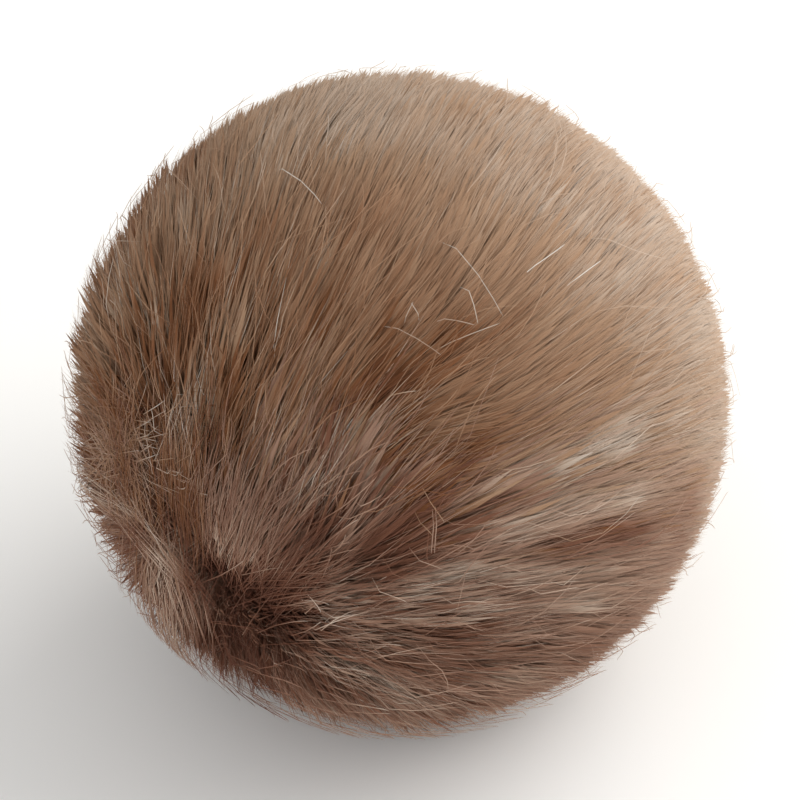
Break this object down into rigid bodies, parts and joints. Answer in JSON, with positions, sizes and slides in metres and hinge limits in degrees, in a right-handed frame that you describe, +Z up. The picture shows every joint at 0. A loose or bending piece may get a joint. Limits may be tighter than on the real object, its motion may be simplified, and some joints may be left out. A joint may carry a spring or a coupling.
{
  "type": "faux fur pom pom",
  "caption": "Round ball of long soft faux fur pile that parts at a whorl and sweeps over the ball, lying on a small flat spot.",
  "frame": {"origin": "on the surface that the ball lies on, under the middle of its outline", "axes": "+Z up; the whorl where the pile parts faces -X and -Y, a little below the ball's middle"},
  "size_m": [0.1286, 0.1282, 0.1214],
  "materials": {
    "fur": "long soft pile, brown at the roots and pale beige towards the tips, slight sheen"
  },
  "bodies": {
    "root": {"fur_pompom": "fur"}
  },
  "joints": []
}
